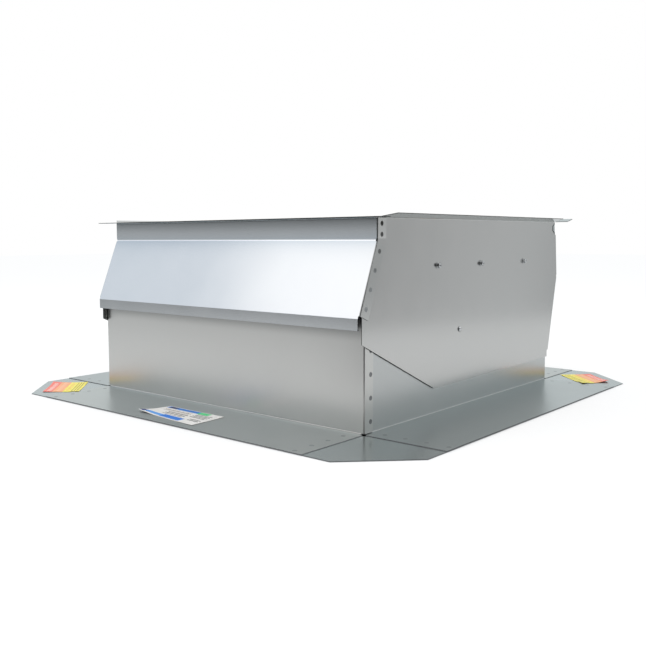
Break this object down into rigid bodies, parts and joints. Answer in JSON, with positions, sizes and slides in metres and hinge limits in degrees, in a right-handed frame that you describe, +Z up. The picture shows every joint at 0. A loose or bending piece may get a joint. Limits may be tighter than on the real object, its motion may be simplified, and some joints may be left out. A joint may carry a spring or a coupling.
{
  "type": "roof jack",
  "caption": "Adjustable sheet-metal roof jack: a square flanged neck for a roof opening with a tilting hood that keeps a rooftop cooler's duct level.",
  "frame": {"origin": "centre of the neck on the roof deck", "axes": "+Z up out of the roof, +X along the front from left to right, front (drip lip) at -Y"},
  "size_m": [0.663, 0.663, 0.2402],
  "materials": {
    "galvanized_sheet": "galvanized, satin",
    "galvanized_corner": "galvanized, satin",
    "galvanized_front": "galvanized, satin",
    "zinc_plated_screw": "zinc plated, bright",
    "spring_steel_nut": "phosphated, dull",
    "spot_weld": "pressed, dull"
  },
  "bodies": {
    "neck": {"neck_front_panel": "galvanized_sheet", "neck_rear_panel": "galvanized_sheet", "neck_left_panel": "galvanized_sheet", "neck_right_panel": "galvanized_sheet", "flashing_corner_front_left": "galvanized_corner", "flashing_corner_front_right": "galvanized_corner", "flashing_corner_rear_left": "galvanized_corner", "flashing_corner_rear_right": "galvanized_corner", "pivot_screw_left": "zinc_plated_screw", "pivot_screw_right": "zinc_plated_screw", "pivot_nut_left": "spring_steel_nut", "pivot_nut_right": "spring_steel_nut", "welds_neck_front": "spot_weld", "welds_neck_rear": "spot_weld", "welds_flashing": "spot_weld"},
    "hood": {"hood_front_panel": "galvanized_front", "hood_rear_panel": "galvanized_sheet", "hood_left_panel": "galvanized_sheet", "hood_right_panel": "galvanized_sheet", "lock_screws_left": "zinc_plated_screw", "lock_screws_right": "zinc_plated_screw", "lock_nuts_left": "spring_steel_nut", "lock_nuts_right": "spring_steel_nut", "welds_hood_front": "spot_weld", "welds_hood_rear": "spot_weld"}
  },
  "joints": [
    {"name": "hood_tilt", "type": "hinge", "parent": "neck", "child": "hood", "pos_m": [0, -0.0303, 0.0991], "axis": [1, 0, 0], "range_deg": [0, 18.43]}
  ]
}
